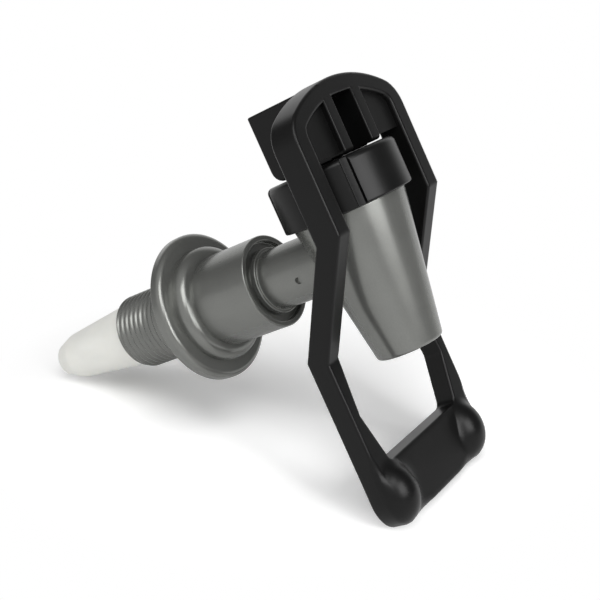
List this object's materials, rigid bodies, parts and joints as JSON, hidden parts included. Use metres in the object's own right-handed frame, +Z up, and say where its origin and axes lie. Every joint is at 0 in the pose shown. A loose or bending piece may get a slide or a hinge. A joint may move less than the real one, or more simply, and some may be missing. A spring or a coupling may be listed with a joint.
{
  "type": "dispenser tap",
  "caption": "Push-lever drink dispenser tap: threaded panel shank with flange, tapered spout, screw bonnet and a looped lever that lifts a sprung stem when a cup presses its bar.",
  "frame": {"origin": "on the shank's axis, at the flange's rear face that meets the panel", "axes": "+Y along the shank through the panel to the rear, +Z up, spout pointing down along -Z, lever at the front (-Y)"},
  "size_m": [0.051, 0.1283, 0.1047],
  "materials": {
    "grey_plastic": "satin silver-grey moulding",
    "black_plastic": "semi-gloss moulding",
    "white_plastic": "translucent satin moulding",
    "steel": "drawn wire and sheet",
    "silicone": "milky silicone",
    "seal_rubber": "black nitrile"
  },
  "bodies": {
    "tap": {"mounting_shank": "grey_plastic", "tap_body": "grey_plastic", "inlet_tail": "white_plastic", "bonnet": "black_plastic", "seat_cup": "silicone", "return_spring": "steel", "spigot_seal": "seal_rubber", "retaining_clip": "steel", "tail_seal": "seal_rubber"},
    "stem": {"valve_stem": "black_plastic", "spring_washer": "steel"},
    "lever": {"lever": "black_plastic", "hinge_pin": "steel"}
  },
  "joints": [
    {"name": "stem_lift", "type": "slide", "parent": "tap", "child": "stem", "axis": [0, 0, 1], "range_m": [0, 0.0026], "deforming": ["return_spring", "seat_cup"]},
    {"name": "lever_press", "type": "hinge", "parent": "stem", "child": "lever", "pos_m": [0, -0.05525, 0.031], "axis": [1, 0, 0], "range_deg": [0, 14], "stiffness_Nm_per_rad": 0.085, "springref_deg": -21.77}
  ],
  "couplings": [
    {"joint": "stem_lift", "follows": "lever_press", "m_per_rad": 0.0102}
  ]
}
